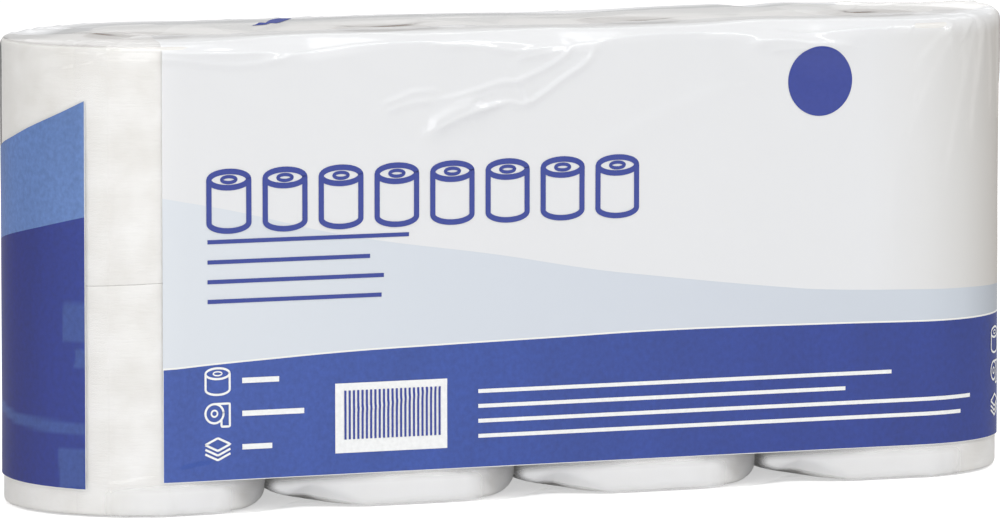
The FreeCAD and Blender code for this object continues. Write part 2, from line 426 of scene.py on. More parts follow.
# Where the film sticks to the paper of the left end: left, right, low, high, and width of the soft edge
CONTACTS = ((-214.8, -203.5, 70, 87.5, 0.8), (-209.8, -203.5, 60.4, 68.7, 0.6),
            (-218, -203.5, 11, 28.4, 1.2), (-275, -203.5, 32.6, 38.8, 1.5))


def contact(s, w):
    """Where the film sticks to the paper and the ink looks lighter: soft-edged patches, and one long
    band that bows upwards to the left.
    """
    a = artwork(s) + 1.2 * soft_noise(s / 9, w / 6, 44)
    w = w + 0.5 * soft_noise(s / 9, w / 9, 45)
    made = np.zeros(np.broadcast(s, w).shape)
    for left, right, low, high, edge in CONTACTS:
        bow = 0.0015 * (a + 204) ** 2 if right - left > 50 else 0.0
        inside = np.minimum(np.minimum(a - left, right - a), np.minimum(w - low - bow, high + bow - w))
        made = np.maximum(made, ease(inside / edge))
    return made


# Materials

def colour(text):
    """An sRGB hex colour as the linear values that a shader takes."""
    parts = [int(text[i:i + 2], 16) / 255 for i in (1, 3, 5)]
    return tuple(c / 12.92 if c <= 0.04045 else ((c + 0.055) / 1.055) ** 2.4 for c in parts) + (1.0,)


def add(tree, kind, inputs=None, **settings):
    """Adds a node with its settings. inputs gives each socket, by name or number, a value or a link."""
    made = tree.nodes.new("ShaderNode" + kind)
    for key, value in settings.items():
        setattr(made, key, value)
    for key, value in (inputs or {}).items():
        if isinstance(value, bpy.types.Node):
            value = value.outputs[0]
        if isinstance(value, bpy.types.NodeSocket):
            tree.links.new(value, made.inputs[key])
        else:
            made.inputs[key].default_value = value
    return made


def new_material(name):
    """An empty material, its node tree and its output."""
    made = bpy.data.materials.new(name)
    made.use_nodes = True
    made.node_tree.nodes.clear()
    return made, made.node_tree, add(made.node_tree, "OutputMaterial")


def socket(node):
    """The output in use of a node that has one output for each kind of value."""
    return next(s for s in node.outputs if s.enabled)


def under_gloss(tree, backing, bump):
    """A shader under the film's gloss, which is a little dulled by a slip coating. It mirrors a little
    head on and more at a graze, the same from both sides of the film.
    """
    slant = add(tree, "LayerWeight", {"Blend": 0.5, "Normal": bump})
    mirror = add(tree, "Math", {0: slant.outputs["Facing"], 1: 5.0}, operation="POWER")
    mirror = add(tree, "Math", {0: mirror, 1: 0.1, 2: 0.034}, operation="MULTIPLY_ADD")
    gloss = add(tree, "BsdfGlossy", {"Color": colour("#ffffff"), "Roughness": 0.12, "Normal": bump})
    return add(tree, "MixShader", {0: mirror, 1: backing, 2: gloss})


def per_metre(size):
    """The scale of a texture whose grains are size mm across."""
    return 1000 / size


# Sizes of the patterns in the materials, across one grain of each
MOTTLE = 2.0833                   # of printed ink
NEARNESS = 23.8095                # patches where the film is nearer to the paper
WAVE = 9.0909                     # of the slack film
CRINKLE = 1.9231                  # of its fine crinkle
CREPE = 2.381                     # the crepe of real tissue is about 1 mm; drawn coarser so that it shows
CLOUD = 16.6667                   # of thicker and thinner tissue
TURN = 0.9                        # real turns are 0.45 mm apart; drawn wider so that they show
FIBRE = 1.1111                    # of the board
SPIRAL_CLIMB = 62.0               # of the board's strip in one turn round the core

SHARP_STEP = 0.009                # two points of a curve this near to each other make a sharp step


def set_curve(node, points):
    """Puts points, from 0 to 1 each way, on a curve node."""
    curve = node.mapping.curves[0]
    curve.points[0].location, curve.points[1].location = points[0], points[-1]
    for x, y in points[1:-1]:
        curve.points.new(x, y)
    places = [x for x, y in points]
    for point in curve.points:
        beside = min(abs(point.location[0] - x) for x in places if abs(point.location[0] - x) > 1e-5)
        point.handle_type = "VECTOR" if beside < SHARP_STEP else "AUTO"
    node.mapping.update()


def set_ramp(node, stops):
    """Puts colours, as (place, hex), on a colour ramp."""
    ramp = node.color_ramp
    ramp.elements[0].position, ramp.elements[1].position = stops[0][0], stops[-1][0]
    ramp.elements[0].color, ramp.elements[1].color = colour(stops[0][1]), colour(stops[-1][1])
    for place, text in stops[1:-1]:
        ramp.elements.new(place).color = colour(text)


def across(place):
    """A place on the artwork as a part of its length, for curves and ramps."""
    return (place - PANEL_START) / HALF_ROUND


# Edges of the printed fields, as (place on the artwork, height)
UPPER_EDGE = [(-270, 145), (-259.5, 148.3), (-246, 152), (-233.8, 156.4), (-217.8, 162.6),
              (-204.1, 168.8), (-198, 171.6), (-194, 134.1), (-171.8, 129.4), (-146.7, 124.5),
              (-91.3, 111.4), (-26, 101.2), (18.3, 93.3), (39.7, 90.4), (104.2, 82.6), (116, 81.5),
              (168.6, 79.4), (189.9, 78.9), (218.3, 77.9), (231.3, 77.6)]
LOWER_EDGE = [(-270, 108), (-260.8, 109.8), (-230, 116), (-204.1, 121.9), (-198, 123.2), (-194, 60),
              (-169.6, 60.5), (-154.2, 61.5), (-128.3, 62.9), (-91.8, 64.6), (-49.8, 65.6), (-2.1, 66.5),
              (40.7, 67.4), (127.4, 66.9), (165.8, 66.3), (231.3, 66.1)]
PRINT_FOOT = [(-270, 12.7), (-204.1, 11.2), (-198, 11.2), (-194, 14), (-91.8, 14.2), (104.2, 14.2),
              (231.3, 14.0)]


def film_material():
    """Printed film: thin clear polyethylene, blown and printed on its inner side.

    Bare, it is clear and glossy. Under the ink it is a glossy coloured sheet. White ink is thin, so a
    little of what is behind shows through, and blue ink is dense with fine mottling. Where the folded
    ends lie in several layers, it goes milky.
    """
    material, tree, output = new_material("printed_polyethylene_film")
    wrapped = add(tree, "UVMap", uv_map="wrapped")
    split = add(tree, "SeparateXYZ", {0: wrapped})
    place = split.outputs[0]
    part = add(tree, "MapRange", {"Value": place, "From Min": PANEL_START / 1000,
                                  "From Max": (PANEL_START + HALF_ROUND) / 1000})
    level = add(tree, "MapRange", {"Value": split.outputs[1], "From Max": HEIGHT / 1000}, clamp=False)
    edges = []
    for edge in (UPPER_EDGE, LOWER_EDGE, PRINT_FOOT):
        node = add(tree, "FloatCurve", {"Value": part})
        set_curve(node, [(across(x), y / HEIGHT) for x, y in edge])
        edges.append(node)
    upper, lower, foot = edges
    on_front = add(tree, "Math", {0: place, 1: FRONT_START / 1000}, operation="GREATER_THAN")
    on_panel = add(tree, "Math", {0: place, 1: PANEL_END / 1000}, operation="LESS_THAN")
    printed = add(tree, "Math", {0: on_front, 1: on_panel}, operation="ADD")
    above_foot = add(tree, "Math", {0: level, 1: foot}, operation="GREATER_THAN")
    below_top = add(tree, "MapRange", {"Value": level, "From Min": 1.05, "From Max": 1.16,
                                       "To Min": 1.0, "To Max": 0.0}, interpolation_type="SMOOTHSTEP")
    in_print = add(tree, "Math", {0: printed, 1: above_foot}, operation="MULTIPLY")
    in_print = add(tree, "Math", {0: in_print, 1: below_top}, operation="MULTIPLY")
    in_upper = add(tree, "Math", {0: level, 1: upper}, operation="LESS_THAN")
    in_lower = add(tree, "Math", {0: level, 1: lower}, operation="LESS_THAN")

    # fine mottle of the ink, and soft upright changes where the film is nearer to the paper
    spread = add(tree, "Mapping", {"Vector": wrapped, "Scale": (1.0, 0.8, 1.0)})
    mottle = add(tree, "TexNoise", {"Vector": spread, "Scale": per_metre(MOTTLE), "Detail": 3.0,
                                    "Roughness": 0.6})
    drawn = add(tree, "Mapping", {"Vector": wrapped, "Scale": (1.0, 0.22, 1.0)})
    bands = add(tree, "TexNoise", {"Vector": drawn, "Scale": per_metre(NEARNESS), "Detail": 2.0})
    contact_patch = add(tree, "Attribute", attribute_name="contact")

    # print of the pale fields; towards its right end it is painted darker, as painted shade of the end
    # that turns away from the light
    upper_print_and_painted_shade = add(tree, "ValToRGB", {0: part})
    set_ramp(upper_print_and_painted_shade, [(0.0, "#5576b4"), (across(-250), "#5b7cba"), (across(-204.5), "#5c7db8"),
                          (across(-172), "#dae0e7"), (across(-60), "#d3dae3"), (across(60), "#cfd6e0"),
                          (across(185), "#c9d1db"), (1.0, "#a5abb4")])
    lower_ramp = add(tree, "ValToRGB", {0: part})
    set_ramp(lower_ramp, [(0.0, "#0b1b74"), (across(-245), "#0b1c79"), (across(-204.5), "#1a3189"),
                          (across(-172), "#3753a3"), (across(-60), "#2d4b9d"), (across(100), "#1f3a90"),
                          (1.0, "#162f85")])
    lighter = add(tree, "Mix", {"Factor": contact_patch.outputs["Fac"], "A": lower_ramp,
                                "B": colour("#314b93")}, data_type="RGBA")
    # the white ink is painted darker and warmer towards the right end of the artwork: painted shade of the
    # end that turns away from the light. On the top it stays plain white
    white_print_and_painted_shade = add(tree, "ValToRGB", {0: part})
    set_ramp(white_print_and_painted_shade, [(0.0, "#eaecef"), (across(140), "#eaecef"), (across(185), "#e0e0df"),
                          (across(212), "#d3d0cc"), (1.0, "#b9b4ad")])
    on_top = add(tree, "MapRange", {"Value": level, "From Min": 0.96, "From Max": 1.02})
    white = add(tree, "Mix", {"Factor": on_top, "A": white_print_and_painted_shade, "B": colour("#eaecef")}, data_type="RGBA")
    ink = add(tree, "Mix", {"Factor": in_upper, "A": socket(white), "B": upper_print_and_painted_shade}, data_type="RGBA")
    ink = add(tree, "Mix", {"Factor": in_lower, "A": socket(ink), "B": socket(lighter)}, data_type="RGBA")

    tone = add(tree, "MapRange", {"Value": mottle, "From Min": 0.3, "From Max": 0.7,
                                  "To Min": 0.88, "To Max": 1.12})
    tone_bands = add(tree, "MapRange", {"Value": bands, "From Min": 0.3, "From Max": 0.7,
                                        "To Min": 0.92, "To Max": 1.08})
    tones = add(tree, "Math", {0: tone, 1: tone_bands}, operation="MULTIPLY")
    blue = add(tree, "Math", {0: on_panel, 1: in_lower}, operation="MAXIMUM")
    tones = add(tree, "Mix", {"Factor": blue, "A": 1.0, "B": tones}, data_type="FLOAT")
    ink = add(tree, "VectorMath", {0: socket(ink), "Scale": socket(tones)}, operation="SCALE")

    # thin white outlines of the fields; half widths in metres, or as parts of HEIGHT for level
    lines = []
    for first, second, width, where in ((level, lower, 0.0018, on_front),
                                        (place, PANEL_END / 1000, 0.00025, in_upper),
                                        (place, FRONT_START / 1000, 0.00025, in_lower),
                                        (level, foot, 0.0014, printed)):
        near = add(tree, "Math", {0: first, 1: second, 2: width}, operation="COMPARE")
        lines.append(add(tree, "Math", {0: near, 1: where}, operation="MULTIPLY"))
    line = lines[0]
    for other in lines[1:]:
        line = add(tree, "Math", {0: line, 1: other}, operation="MAXIMUM")
    ink = add(tree, "Mix", {"Factor": line, "A": ink, "B": colour("#f1f2ee")}, data_type="RGBA")

    # how much of the ink hides what is behind
    thin = add(tree, "Math", {0: on_front, 1: 0.93}, operation="MULTIPLY")
    dense = add(tree, "Math", {0: thin, 1: in_upper}, operation="MAXIMUM")
    dense = add(tree, "Math", {0: dense, 1: line}, operation="MAXIMUM")
    cover = add(tree, "Math", {0: dense, 1: in_print}, operation="MULTIPLY")
    milky = add(tree, "Attribute", attribute_name="milky")
    cover_all = add(tree, "Math", {0: cover, 1: milky.outputs["Fac"]}, operation="MAXIMUM")
    bare = add(tree, "Math", {0: cover, 1: 0.05}, operation="GREATER_THAN")
    shade = add(tree, "Mix", {"Factor": bare, "A": colour("#fafbfc"), "B": socket(ink)}, data_type="RGBA")

    # slack of the film and its fine crinkle
    slack = add(tree, "TexNoise", {"Vector": wrapped, "Scale": per_metre(WAVE), "Detail": 2.0})
    crinkle = add(tree, "TexNoise", {"Vector": drawn, "Scale": per_metre(CRINKLE), "Detail": 3.0})
    bump = add(tree, "Bump", {"Height": slack, "Distance": 0.0003, "Strength": 0.35})
    bump = add(tree, "Bump", {"Height": crinkle, "Distance": 0.0001, "Strength": 0.25, "Normal": bump})

    inked = add(tree, "BsdfPrincipled", {"Base Color": socket(shade), "Roughness": 0.5,
                                         "Specular IOR Level": 0.0, "Normal": bump})
    clear = add(tree, "BsdfTransparent", {"Color": colour("#fefefe")})
    backing = add(tree, "MixShader", {0: cover_all, 1: clear, 2: inked})
    whole = under_gloss(tree, backing, bump)
    tree.links.new(whole.outputs[0], output.inputs["Surface"])
    return material


def ink_material(name, text):
    """Printed marks: the same ink as the fields, in one plain colour, under the film's gloss."""
    material, tree, output = new_material(name)
    wrapped = add(tree, "UVMap", uv_map="wrapped")
    mottle = add(tree, "TexNoise", {"Vector": wrapped, "Scale": per_metre(MOTTLE), "Detail": 3.0,
                                    "Roughness": 0.6})
    tone = add(tree, "MapRange", {"Value": mottle, "From Min": 0.3, "From Max": 0.7,
                                  "To Min": 0.95, "To Max": 1.05})
    ink = add(tree, "VectorMath", {0: colour(text)[:3], "Scale": socket(tone)}, operation="SCALE")
    slack = add(tree, "TexNoise", {"Vector": wrapped, "Scale": per_metre(WAVE), "Detail": 2.0})
    bump = add(tree, "Bump", {"Height": slack, "Distance": 0.0003, "Strength": 0.35})
    inked = add(tree, "BsdfPrincipled", {"Base Color": ink, "Roughness": 0.5, "Specular IOR Level": 0.0,
                                         "Normal": bump})
    whole = under_gloss(tree, inked, bump)
    tree.links.new(whole.outputs[0], output.inputs["Surface"])
    return material


def paper_material():
    """Tissue paper: soft creped cellulose, embossed and wound.

    It is a warm white with no gloss. Its crepe is a fine uneven grain, and the wound ends show the
    edges of the turns as fine rings.
    """
    material, tree, output = new_material("creped_tissue_paper")
    wound = add(tree, "UVMap", uv_map="wrapped")
    place = add(tree, "SeparateXYZ", {0: wound})
    ends = add(tree, "Attribute", attribute_name="ends")
    stretched = add(tree, "Mapping", {"Vector": wound, "Scale": (0.2, 1.0, 1.0)})
    crepe = add(tree, "TexNoise", {"Vector": stretched, "Scale": per_metre(CREPE), "Detail": 5.0,
                                   "Roughness": 0.7})
    cloudy = add(tree, "TexNoise", {"Vector": wound, "Scale": per_metre(CLOUD), "Detail": 3.0})
    uneven = add(tree, "Math", {0: cloudy, 1: 1.6}, operation="MULTIPLY")
    turns = add(tree, "Math", {0: place.outputs[1], 1: 2 * math.pi * per_metre(TURN), 2: uneven},
                operation="MULTIPLY_ADD")
    rings = add(tree, "Math", {0: turns}, operation="SINE")
    rings = add(tree, "MapRange", {"Value": rings, "From Min": -1.0, "To Min": 0.0})
    relief = add(tree, "Mix", {"Factor": ends.outputs["Fac"], "A": crepe, "B": rings}, data_type="FLOAT")
    tone = add(tree, "MapRange", {"Value": cloudy, "From Min": 0.3, "From Max": 0.7})
    side = add(tree, "Mix", {"Factor": tone, "A": colour("#e6e5e2"), "B": colour("#f2f2f1")},
               data_type="RGBA")
    end = add(tree, "Mix", {"Factor": rings, "A": colour("#e0dddb"), "B": colour("#f0eeec")},
              data_type="RGBA")
    shade = add(tree, "Mix", {"Factor": ends.outputs["Fac"], "A": socket(side), "B": socket(end)},
                data_type="RGBA")
    bump = add(tree, "Bump", {"Height": socket(relief), "Distance": 0.0005, "Strength": 0.6})
    tissue = add(tree, "BsdfPrincipled", {"Base Color": socket(shade), "Roughness": 0.95,
                                          "Specular IOR Level": 0.15, "Normal": bump})
    tree.links.new(tissue.outputs[0], output.inputs["Surface"])
    return material


def cardboard_material():
    """Core board: grey-brown recycled paperboard, wound in a spiral and glued.

    It is dull, with short fibres, and the spiral joint shows as a thin darker line.
    """
    material, tree, output = new_material("spiral_wound_core_board")
    where = add(tree, "TexCoord")
    place = add(tree, "SeparateXYZ", {0: where.outputs["Object"]})
    local = add(tree, "Math", {0: place.outputs[0], 1: 0.0, 2: PITCH / 1000}, operation="WRAP")
    local = add(tree, "Math", {0: local, 1: PITCH / 2000}, operation="SUBTRACT")
    angle = add(tree, "Math", {0: place.outputs[1], 1: local}, operation="ARCTAN2")
    climb = add(tree, "Math", {0: place.outputs[2], 1: per_metre(SPIRAL_CLIMB)}, operation="MULTIPLY")
    spiral = add(tree, "Math", {0: angle, 1: 0.5 / math.pi, 2: climb}, operation="MULTIPLY_ADD")
    spiral = add(tree, "Math", {0: spiral}, operation="FRACT")
    joint = add(tree, "Math", {0: spiral, 1: 0.5, 2: 0.012}, operation="COMPARE")
    fibres = add(tree, "TexNoise", {"Vector": where.outputs["Object"], "Scale": per_metre(FIBRE),
                                    "Detail": 4.0})
    tone = add(tree, "MapRange", {"Value": fibres, "From Min": 0.3, "From Max": 0.7})
    board = add(tree, "Mix", {"Factor": tone, "A": colour("#8f7664"), "B": colour("#ab9380")},
                data_type="RGBA")
    board = add(tree, "Mix", {"Factor": joint, "A": socket(board), "B": colour("#6c5546")},
                data_type="RGBA")
    bump = add(tree, "Bump", {"Height": fibres, "Distance": 0.0001, "Strength": 0.5})
    dull = add(tree, "BsdfPrincipled", {"Base Color": socket(board), "Roughness": 0.9, "Normal": bump})
    tree.links.new(dull.outputs[0], output.inputs["Surface"])
    return material


film = film_material()
blue_ink = ink_material("blue_flexo_ink", "#2e3f94")
white_ink = ink_material("white_flexo_ink", "#f2f4f4")
paper = paper_material()
board = cardboard_material()

# The film, in four pieces that meet edge to edge

# Rows of the grid, as unrolled heights, finer near the foot and the top
BOTTOM_ROWS = np.linspace(-FILM_R, -1.0, 34)
SIDE_ROWS = np.concatenate([np.arange(-1.0, 24, 1.0), np.arange(24, 150, 1.5),
                            np.linspace(150, HEIGHT + 1, 55)])
TOP_ROWS = np.linspace(HEIGHT + 1, HEIGHT + FILM_R, 72)

# Shares of milky haze
HAZE_TOP = 0.5
HAZE_BOTTOM = 0.1
HAZE_LAYER = 0.06                 # for each layer more
HAZE_FOOT = 0.66                  # where the film is gathered under the rolls
FOOT_REACH = 15.0                 # how far up the gathered film goes
NOTCH_ASIDE = 20.0                # how far left of where two rolls meet the film is clear
TUCK_REACH = 34.0                 # how far in from the end roll's middle the tucked end lies
# Gaps in the haze over the cores' holes: middle, half length and lean, all with the same half width
CLEAR_GAPS = [(-178, 13, 9, -0.3), (-55, 2, 19, 0.06), (52, -6, 17, -0.1), (160, 1, 8, 0.2)]
GAP_WIDTH = 3.2


def haze(s, w, x, y):
    """Share of milky haze in the film, whose folded-flat place is x, y.

    The folded ends are hazy, more with each layer, but for narrow gaps over the cores' holes, and so
    is the lap of the seam. Below the print the gathered film is hazy, but for a clear notch beside
    each place where two rolls meet. To the right of a notch the haze starts higher up, above the rim
    that the film lifts there.
    """
    layers = (ease(inside_flap(x, y, 1) + 0.5) + ease(inside_flap(x, y, -1) + 0.5)
              + (np.abs(x) > ROW_HALF - TUCK_REACH))
    ends = ease((w - HEIGHT + 1.5) / 3) + ease((-w - 2) / 3)
    gaps = sum(np.exp(-((x - x0) / reach) ** 4 - ((y - y0 - lean * (x - x0)) / GAP_WIDTH) ** 2)
               for x0, y0, reach, lean in CLEAR_GAPS)
    folded = ends * (np.where(w > HEIGHT / 2, HAZE_TOP, HAZE_BOTTOM) + HAZE_LAYER * layers)
    lap = (s > SEAM[0]) & (s < SEAM[1]) & (w > 0) & (w < HEIGHT)
    from_notch = (((x + NOTCH_ASIDE) / PITCH + 0.5) % 1 - 0.5) * PITCH
    lifted_rim = np.where(from_notch > 0, 10 * (1 - ease(from_notch / 26)), 0)
    foot = ease((FOOT_REACH - w) / 5) * ease((w + 2 - lifted_rim) / 3)
    foot = foot * ease(np.where(from_notch > 0, from_notch / 6, (-8 - from_notch) / 14))
    foot = foot * ease((ROW_HALF + 40 - np.abs(x)) / 25)
    return folded * (1 - 0.8 * gaps) + HAZE_LAYER * lap + HAZE_FOOT * foot


def film_piece(name, s, w, closed):
    """One piece of the film: film_points on a grid of places round the pack and unrolled heights.

    Its UV map holds the place on the artwork and the unrolled height. closed joins the last column to
    the first.
    """
    s_grid, w_grid = np.meshgrid(s, w)
    points = film_points(s_grid, w_grid)
    faces = grid_faces(len(w), len(s), close_columns=closed)
    first = artwork(s_grid + 1e-6).ravel()[faces[:, :1]]
    step = ROUND / COLUMNS
    across_cell = first + np.array([0, step, step, 0])
    uv = np.stack([across_cell, w_grid.ravel()[faces]], -1)
    x, nx, ny = walk(s_grid)
    r = FILM_R - np.maximum(0, np.maximum(w_grid - HEIGHT, -w_grid))
    milky = haze(s_grid, w_grid, x + nx * r, ny * r)
    made = put_mesh(name, points.reshape(-1, 3), faces, film, uv,
                    {"contact": contact(s_grid, w_grid), "milky": milky})
    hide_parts("film_wrap")


front_s = np.linspace(-HALF_ROUND / 2, HALF_ROUND / 2, COLUMNS // 2 + 1)
back_s = front_s + HALF_ROUND
all_s = np.concatenate([front_s[:-1], back_s[:-1]])
film_piece("film_front", front_s, SIDE_ROWS, False)
film_piece("film_back", back_s, SIDE_ROWS, False)
film_piece("film_top", all_s, TOP_ROWS, True)
film_piece("film_bottom", all_s, BOTTOM_ROWS, True)

# The rolls

TAIL_STEP = 0.35                  # how far the loose end stands out
TAIL_FIRST = 128.0                # degrees round the first roll to its loose end
TAIL_NEXT = 77.0                  # and how many more on each roll after it
PLUMP = 0.3                       # how far the soft paper swells towards the film
UNEVEN = 0.16                     # how far its side is uneven
RIM_TIGHT = 0.35                  # rounding of a rim that stands on another roll
RIM_SOFT = 2.4                    # rounding of a rim that the film pulls on
DRAWN_IN = (3.7, 1.8, 2.2, 0.0)   # how far the film draws each lower roll in beside the next one
DRAWN_HEIGHT = 26.0               # up to this height
LEAN = 2.8                        # how far the left roll's layer line leans down to the left
SQUARE = 3.6                      # how full a lower roll's left flank is: 2 is round, more is squarer
SQUARE_HEIGHT = 60.0              # it is half as full at this height
LEFT_LIFT = 7.0                   # how far the film lifts a lower rim on its left, beside the roll before
LEFT_LIFT_GAP = 5.5               # a gap this wide leaves about a third of that
RIGHT_LIFT = 6.0                  # and on its right, beside the next roll
RIGHT_LIFT_TURN = (16, 60)        # degrees to each side: full up to the first, none from the second on
LIFT_HEIGHT = 16.0                # both fade out up to this height
SIDE_CELLS = (14, 14.0)           # cells of the uneven side: how many all round, and how tall
DENT_CELLS = (9, 11.0)            # dents of the ends: how many all round, and how wide
DENT_DEPTH = 0.22
RING_WIDTH = 2.3                  # groups of turns that stand higher or lower together
RING_DEPTH = 0.18
RING_STEP = 1.2                   # how far they wind outwards in one turn
HIDDEN_END = 0.1                  # share of this relief on the ends that stand on each other
TURN_POINTS = 180                 # of a roll's grid, round its axis


def roll_profile(low, high):
    """Distance from the axis and height, along a roll's closed profile: out along the lower end, up the
    side, in along the upper end and down the bore. low and high round the two rims.
    """
    arc = np.linspace(0, math.pi / 2, 6)
    run = np.concatenate([np.linspace(BORE_R, ROLL_R - low, 30)[:-1], ROLL_R - low + low * np.sin(arc),
                          np.full(22, ROLL_R), ROLL_R - high + high * np.cos(arc),
                          np.linspace(ROLL_R - high, BORE_R, 30)[1:], np.full(6, BORE_R)])
    tall = np.concatenate([np.zeros(29), low - low * np.cos(arc),
                           np.linspace(low, ROLL_LENGTH - high, 24)[1:-1],
                           ROLL_LENGTH - high + high * np.sin(arc),
                           np.full(29, ROLL_LENGTH), np.linspace(ROLL_LENGTH, 0, 8)[1:-1]])
    return run, tall


def left_flank(angle, z, column, layer):
    """How many times wider a roll is than a circle, on the left where its neighbour squeezes it.

    The outline there is |x|^p + |y|^p = 1. p is 2 high up, which is a circle, and SQUARE at the foot.
    """
    low_down = 1 - ease((z + layer * ROLL_LENGTH) / SQUARE_HEIGHT - 0.5)
    power = 2 + (SQUARE - 2) * (np.cos(angle) < 0) * (column > 0) * low_down
    return (np.abs(np.cos(angle)) ** power + np.abs(np.sin(angle)) ** power) ** (-1 / power)


def drawn_in(angle, z, column):
    """How far the film draws in a lower roll's foot: most at about 21 degrees to each side of where it
    meets the next roll.
    """
    beside = np.exp(-((np.abs(np.sin(angle)) - 0.36) / 0.22) ** 2) * (np.cos(angle) > 0)
    return DRAWN_IN[column] * beside * ease((DRAWN_HEIGHT - z) / DRAWN_HEIGHT)


def rim_lift(angle, radius, column):
    """How far the film lifts a lower roll's rim where it meets its neighbours. On the left the lift falls
    off with the gap to the neighbour, and on the right with the angle.
    """
    gap = PITCH / 2 - np.minimum(radius * np.abs(np.cos(angle)), PITCH / 2)
    left = LEFT_LIFT * np.exp(-gap / LEFT_LIFT_GAP) * (column > 0)
    aside = np.degrees(np.arcsin(np.abs(np.sin(angle))))
    full, none = RIGHT_LIFT_TURN
    right = RIGHT_LIFT * ease((none - aside) / (none - full)) * (column < ROLLS - 1)
    return np.where(np.cos(angle) > 0, right, left)


def paper_roll(column, layer):
    """A wound roll: a closed profile carried round its axis.

    Its radius grows by the step of the loose end in one turn, its ends are uneven from turn to turn,
    and it is pressed flat where it meets its neighbours and the film.
    """
    low, high = (RIM_SOFT, RIM_TIGHT) if layer == 0 else (RIM_TIGHT, RIM_SOFT)
    run, tall = roll_profile(low, high)
    angle, radius = np.meshgrid(np.arange(TURN_POINTS) * 2 * math.pi / TURN_POINTS, run)
    turn = angle / (2 * math.pi)
    z = np.broadcast_to(tall[:, None], angle.shape)
    seed = 70 + column + ROLLS * layer
    tail = math.radians(TAIL_FIRST + (column + layer * ROLLS) * TAIL_NEXT)
    part_turn = ((angle - tail) / (2 * math.pi)) % 1
    outside = ease((radius - ROLL_R + 6) / 5)

    # the side
    cells, tall_cell = SIDE_CELLS
    swell = PLUMP - UNEVEN * (1 + soft_noise(turn * cells, z / tall_cell, seed, cells))
    swell = swell - TAIL_STEP * (1 - part_turn)
    pressed = radius * (1 + outside * (left_flank(angle, z, column, layer) - 1)) + outside * swell
    if layer == 0:
        pressed = pressed - outside * drawn_in(angle, z, column)

    # the ends, where every turn stands a little higher or lower than the next
    uneven = ease((radius - BORE_R - 1) / 4)
    spiral = radius + RING_STEP * part_turn
    dish = RING_DEPTH * (1 + soft_noise(spiral / RING_WIDTH, 0 * spiral + seed, 81)) * uneven
    cells, wide_cell = DENT_CELLS
    dents = soft_noise(turn * cells, radius / wide_cell, seed + 9, cells)
    dish = dish + DENT_DEPTH * (1 + dents) * uneven
    at_end = ease((np.abs(z - ROLL_LENGTH / 2) - ROLL_LENGTH / 2 + 0.6) / 0.5)
    upper_half = z > ROLL_LENGTH / 2
    shown = np.where(upper_half == (layer == 1), 1, HIDDEN_END)
    upright = z - np.where(upper_half, 1, -1) * dish * at_end * shown
    if layer == 0:
        lifted = rim_lift(angle, pressed, column) * outside - 0.5
        upright = upright + lifted * ease((LIFT_HEIGHT - z) / LIFT_HEIGHT)
    if column == 0:
        joint = ease(z / ROLL_LENGTH) if layer == 0 else ease(1 - z / ROLL_LENGTH)
        upright = upright - LEAN * np.maximum(0.1 - np.cos(angle), 0) * joint * outside

    middle = column * PITCH - ROW_HALF
    x, y = pressed * np.cos(angle), pressed * np.sin(angle)
    if layer == 1:
        upright = upright - at_end * end_droop(x + middle, y)
    x = np.clip(x, -PRESSED_X if column > 0 else -ROLL_R, PRESSED_X if column < ROLLS - 1 else ROLL_R)
    y = np.clip(y, -PRESSED_Y, PRESSED_Y)
    points = np.stack([x + middle, y, upright + CLOSURE + layer * ROLL_LENGTH], -1)
    faces = grid_faces(len(run), TURN_POINTS, close_rows=True, close_columns=True)

    # the UV map: the way round at full width, and the way along the profile
    way = np.concatenate([[0], np.cumsum(np.hypot(np.diff(run), np.diff(tall)))]) + BORE_R
    step = 2 * math.pi / TURN_POINTS * ROLL_R
    left = (angle * ROLL_R).ravel()[faces[:, :1]]
    uv = np.stack([left + np.array([0, step, step, 0]), way[faces // TURN_POINTS]], -1)
    ends = ((z < low / 4) | (z > ROLL_LENGTH - high / 4)) & (radius < ROLL_R - 0.3)
    name = f"roll_{LAYERS[layer]}_{column + 1}"
    made = put_mesh("paper_" + name, points.reshape(-1, 3), faces, paper, uv, {"ends": ends})
    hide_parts(name)


for layer in range(len(LAYERS)):
    for column in range(ROLLS):
        paper_roll(column, layer)
        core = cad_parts[f"core_{LAYERS[layer]}_{column + 1}"]
        core.data.materials.clear()
        core.data.materials.append(board)

# Printed marks, each a thin ribbon or patch that lies on the film

REPEATS = (0.0, HALF_ROUND)       # the artwork comes twice on the way round
MARK_LIFT = 0.16                  # the marks lie this far above the film
NEXT_LIFT = 0.02                  # and where some overlap, each this far above the one before
CODE_LIFT = 0.2                   # the even bars lie above their white patch
MARK_CELL = 1.0                   # the marks' grids are this fine, so that they follow the film


def along(points, step=0.9):
    """A line through the points, cut into equal steps."""
    points = np.asarray(points, float)
    far = np.concatenate([[0], np.cumsum(np.hypot(*np.diff(points, axis=0).T))])
    t = np.linspace(0, far[-1], max(2, int(far[-1] / step) + 1))
    return np.stack([np.interp(t, far, points[:, 0]), np.interp(t, far, points[:, 1])], -1)


def ribbon(points, width):
    """Two rows of points, half a width to each side of a line."""
    tangent = np.gradient(points, axis=0)
    tangent /= np.hypot(tangent[:, 0], tangent[:, 1])[:, None]
    aside = np.stack([tangent[:, 1], -tangent[:, 0]], -1) * width / 2
    return np.stack([points + aside, points - aside])


def bar(left, right, low, high):
    """A plain rectangle as a grid of points, fine enough to follow the film."""
    s, w = np.meshgrid(np.linspace(left, right, max(2, int((right - left) / MARK_CELL) + 2)),
                       np.linspace(low, high, max(2, int((high - low) / MARK_CELL) + 2)))
    return np.stack([s, w], -1)


def disc(s, w, radius):
    """A flat disc as a square grid of points that is drawn out to a circle, so that it has no pole."""
    u, v = np.meshgrid(*[np.linspace(-1, 1, int(2 * radius / MARK_CELL) + 2)] * 2)
    return np.stack([s + radius * u * np.sqrt(1 - v * v / 2), w + radius * v * np.sqrt(1 - u * u / 2)], -1)


